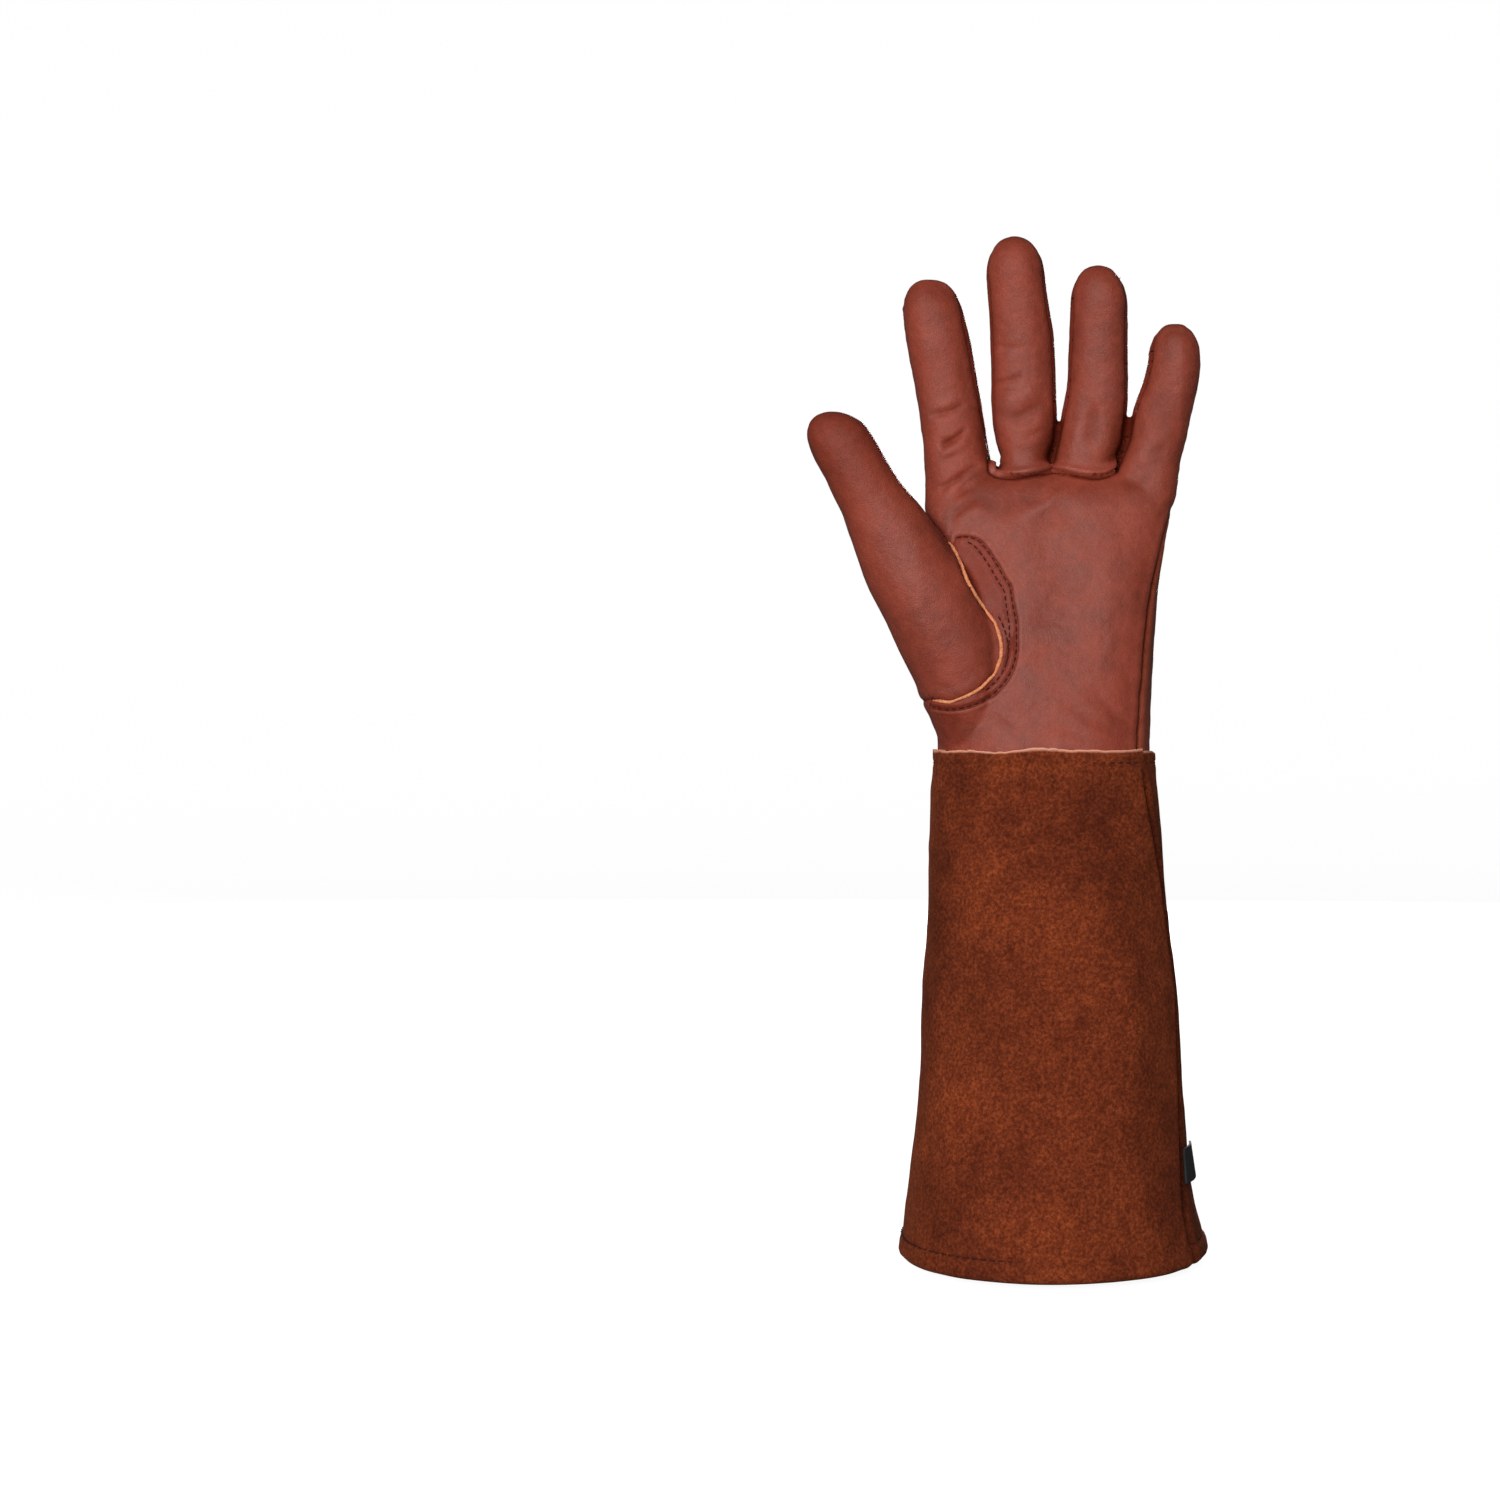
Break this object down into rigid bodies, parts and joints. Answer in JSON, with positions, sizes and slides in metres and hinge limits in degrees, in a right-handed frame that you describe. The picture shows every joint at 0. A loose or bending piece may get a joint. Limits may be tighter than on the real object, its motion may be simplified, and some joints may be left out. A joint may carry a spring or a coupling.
{
  "type": "rose pruning gauntlet glove",
  "caption": "Left-hand leather gauntlet glove with a long flared suede cuff, raised seam welts and a keystone thumb, held palm forward with its fingers spread.",
  "frame": {"origin": "middle of the wrist, level with the cuff's upper edge", "axes": "+Z from the cuff towards the fingertips, palm towards -Y, thumb towards -X"},
  "size_m": [0.1553, 0.112, 0.4018],
  "materials": {
    "leather": "smooth grain leather, soft sheen, reddish brown",
    "leather_back": "smooth grain leather, soft sheen, reddish brown",
    "leather_side": "smooth grain leather, a little darker",
    "welt": "cut leather edge, light tan",
    "suede": "napped split leather, matt, rust brown",
    "tab": "plain black woven tape",
    "thread": "dark brown sewing thread of the visible stitches"
  },
  "bodies": {
    "root": {"palm_panel": "leather", "back_panel": "leather_back", "middle_finger_front": "leather", "ring_finger_front": "leather", "fourchette_index_middle": "leather_side", "fourchette_middle_ring": "leather_side", "fourchette_ring_little": "leather_side", "thumb": "leather", "thumb_gusset": "leather_side", "thumb_welt": "welt", "index_welt": "welt", "cuff_palm_panel": "suede", "cuff_back_panel": "suede", "cuff_tab": "tab"}
  },
  "joints": []
}
